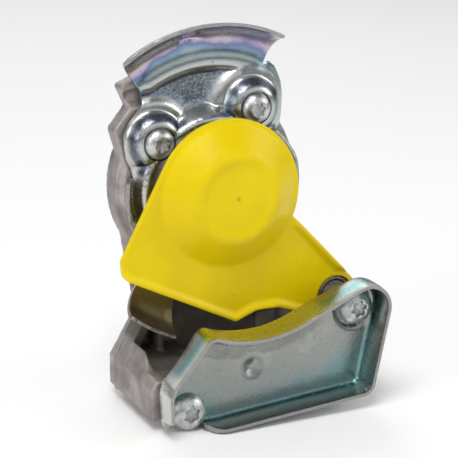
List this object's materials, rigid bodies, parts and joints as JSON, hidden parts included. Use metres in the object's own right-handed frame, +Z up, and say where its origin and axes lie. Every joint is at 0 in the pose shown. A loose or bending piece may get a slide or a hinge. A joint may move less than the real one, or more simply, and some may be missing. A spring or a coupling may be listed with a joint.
{
  "type": "air line coupling head",
  "caption": "Palm-type air brake coupling head: cast body with a sealing ring, curled guide plate, pressed lower claw and a sprung yellow lid that swings aside about its pivot.",
  "frame": {"origin": "centre of the sealing ring's face, where the mating head's face meets it", "axes": "+Y along the seal's axis into the body, towards the rear port; +Z up; +X to the right, seen from -Y"},
  "size_m": [0.0798, 0.0659, 0.1177],
  "materials": {
    "cast_aluminium": "die-cast, blotchy",
    "plated_sheet": "zinc plated and passivated, iridescent",
    "yellow_plastic": "satin moulded",
    "black_rubber": "matt",
    "screw_steel": "zinc plated, dusty",
    "spring_steel": "drawn wire"
  },
  "bodies": {
    "coupler": {"housing": "cast_aluminium", "guide_plate": "plated_sheet", "lower_claw": "plated_sheet", "sealing_ring": "black_rubber", "pivot_bush": "screw_steel", "pivot_washer": "screw_steel", "lid_spring": "spring_steel", "plate_screw_left": "screw_steel", "plate_screw_right": "screw_steel", "claw_screw": "screw_steel", "pivot_screw": "screw_steel"},
    "lid": {"lid": "yellow_plastic"}
  },
  "joints": [
    {"name": "lid_swing", "type": "hinge", "parent": "coupler", "child": "lid", "pos_m": [0.03641, 0, -0.03628], "axis": [0, 1, 0], "range_deg": [0, 100], "stiffness_Nm_per_rad": 0.08, "springref_deg": -40.11, "deforming": ["lid_spring"]}
  ]
}
